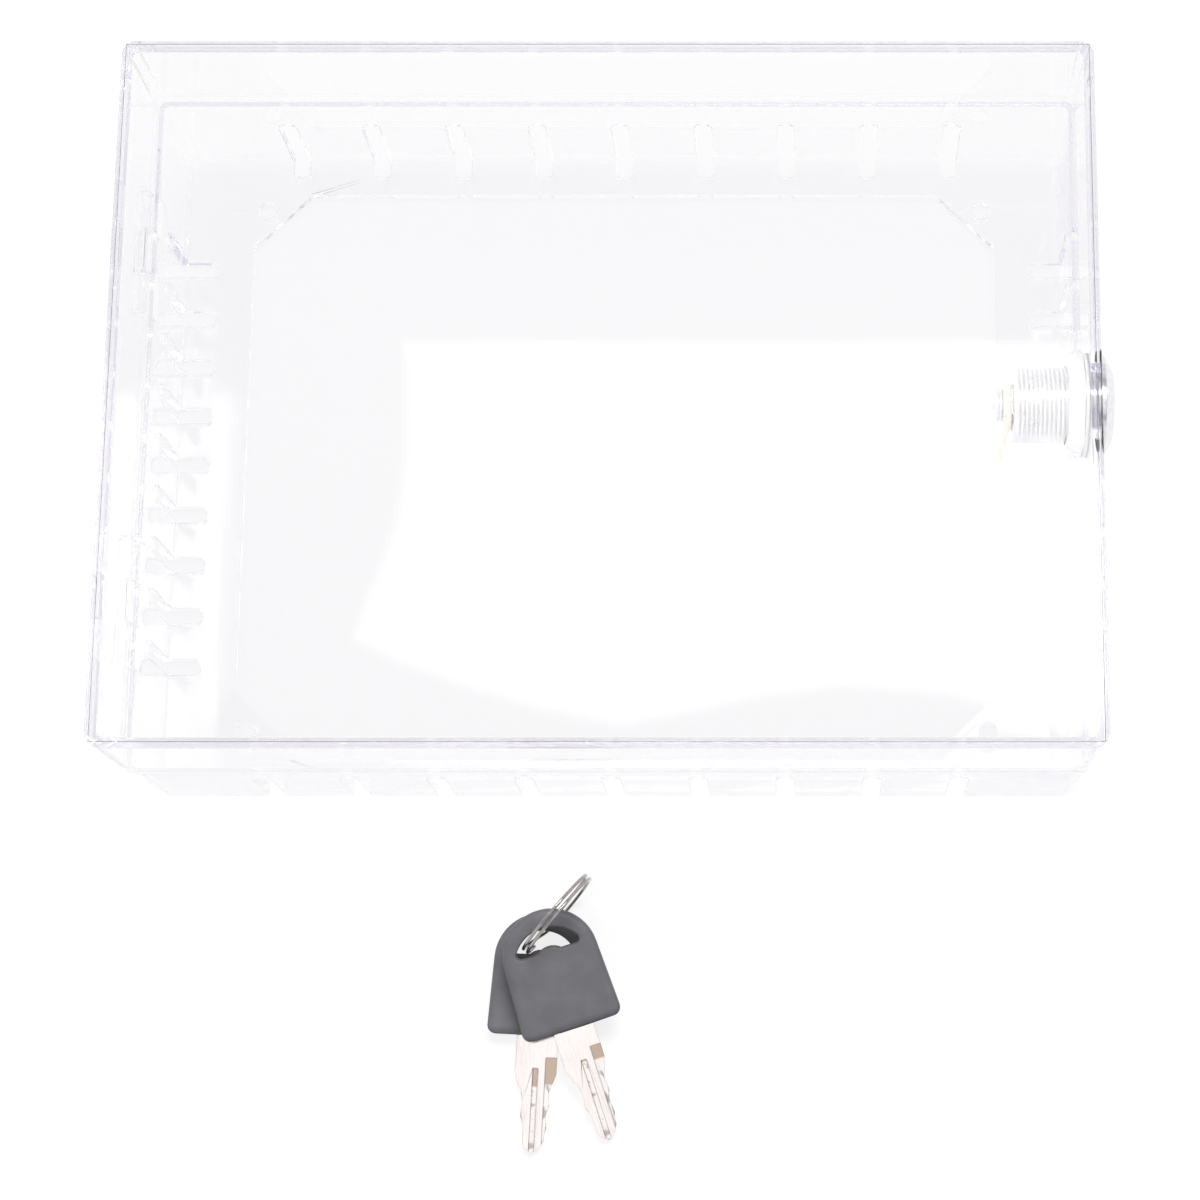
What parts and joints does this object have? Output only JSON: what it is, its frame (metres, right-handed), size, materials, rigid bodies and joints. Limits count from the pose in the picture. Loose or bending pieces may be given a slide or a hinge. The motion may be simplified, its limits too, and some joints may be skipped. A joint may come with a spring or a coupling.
{
  "type": "thermostat lock box",
  "caption": "Clear hinged wall box that covers a thermostat, with vent slots, a keyed cam lock in its side and two keys on a ring.",
  "frame": {"origin": "centre of the four wall screw holes, on the tray's back face", "axes": "the box lies on its back: +X to the lock side, +Y up the wall, +Z out of the wall"},
  "size_m": [0.2277, 0.2459, 0.065],
  "materials": {
    "clear_case": "clear moulded plastic, gloss",
    "clear_pin": "clear moulded plastic, gloss",
    "lock_chrome": "chrome plated die casting",
    "plug_zinc": "nickel plated, satin",
    "plated_steel": "zinc plated steel",
    "wafer_brass": "stamped brass",
    "cam_plated": "yellow passivated steel",
    "ring_steel": "nickel plated spring wire",
    "key_nickel": "nickel plated brass, milled",
    "key_black": "moulded, fine texture"
  },
  "bodies": {
    "base": {"base_tray": "clear_case", "hinge_pin_top": "clear_pin", "hinge_pin_bottom": "clear_pin"},
    "cover": {"front_cover": "clear_case", "lock_housing": "lock_chrome", "nut_washer": "plated_steel", "lock_nut": "lock_chrome"},
    "lock_core": {"lock_plug": "plug_zinc", "wafer_springs": "plated_steel", "cam_stop_washer": "plated_steel", "cam": "cam_plated", "cam_spring_washer": "plated_steel", "cam_screw": "plated_steel"},
    "wafers": {"wafer_1": "wafer_brass", "wafer_2": "wafer_brass", "wafer_3": "wafer_brass", "wafer_4": "wafer_brass", "wafer_5": "wafer_brass"},
    "key_ring": {"split_ring": "ring_steel"},
    "front_key": {"key_blade_front": "key_nickel", "key_head_front": "key_black"},
    "back_key": {"key_blade_back": "key_nickel", "key_head_back": "key_black"}
  },
  "joints": [
    {"name": "cover_hinge", "type": "hinge", "parent": "base", "child": "cover", "pos_m": [-0.1122, 0, 0.0335], "axis": [0, -1, 0], "range_deg": [0, 180]},
    {"name": "lock_turn", "type": "hinge", "parent": "cover", "child": "lock_core", "pos_m": [0.1, 0, 0.0485], "axis": [-1, 0, 0], "range_deg": [0, 90]},
    {"name": "wafer_drop", "type": "slide", "parent": "lock_core", "child": "wafers", "axis": [0, 0, 1], "range_m": [0, 0.0005]},
    {"name": "key_set_lift", "type": "slide", "parent": "base", "child": "key_ring", "axis": [0, 0, 1], "range_m": [0, 0.05]},
    {"name": "front_key_swing", "type": "hinge", "parent": "key_ring", "child": "front_key", "pos_m": [-0.01953, -0.11856, 0.01181], "axis": [0.0701, -0.2156, 0.974], "range_deg": [0, 25]},
    {"name": "back_key_swing", "type": "hinge", "parent": "key_ring", "child": "back_key", "pos_m": [-0.01833, -0.11609, 0.00432], "axis": [-0.003, -0.0685, 0.9976], "range_deg": [-10, 0]}
  ]
}
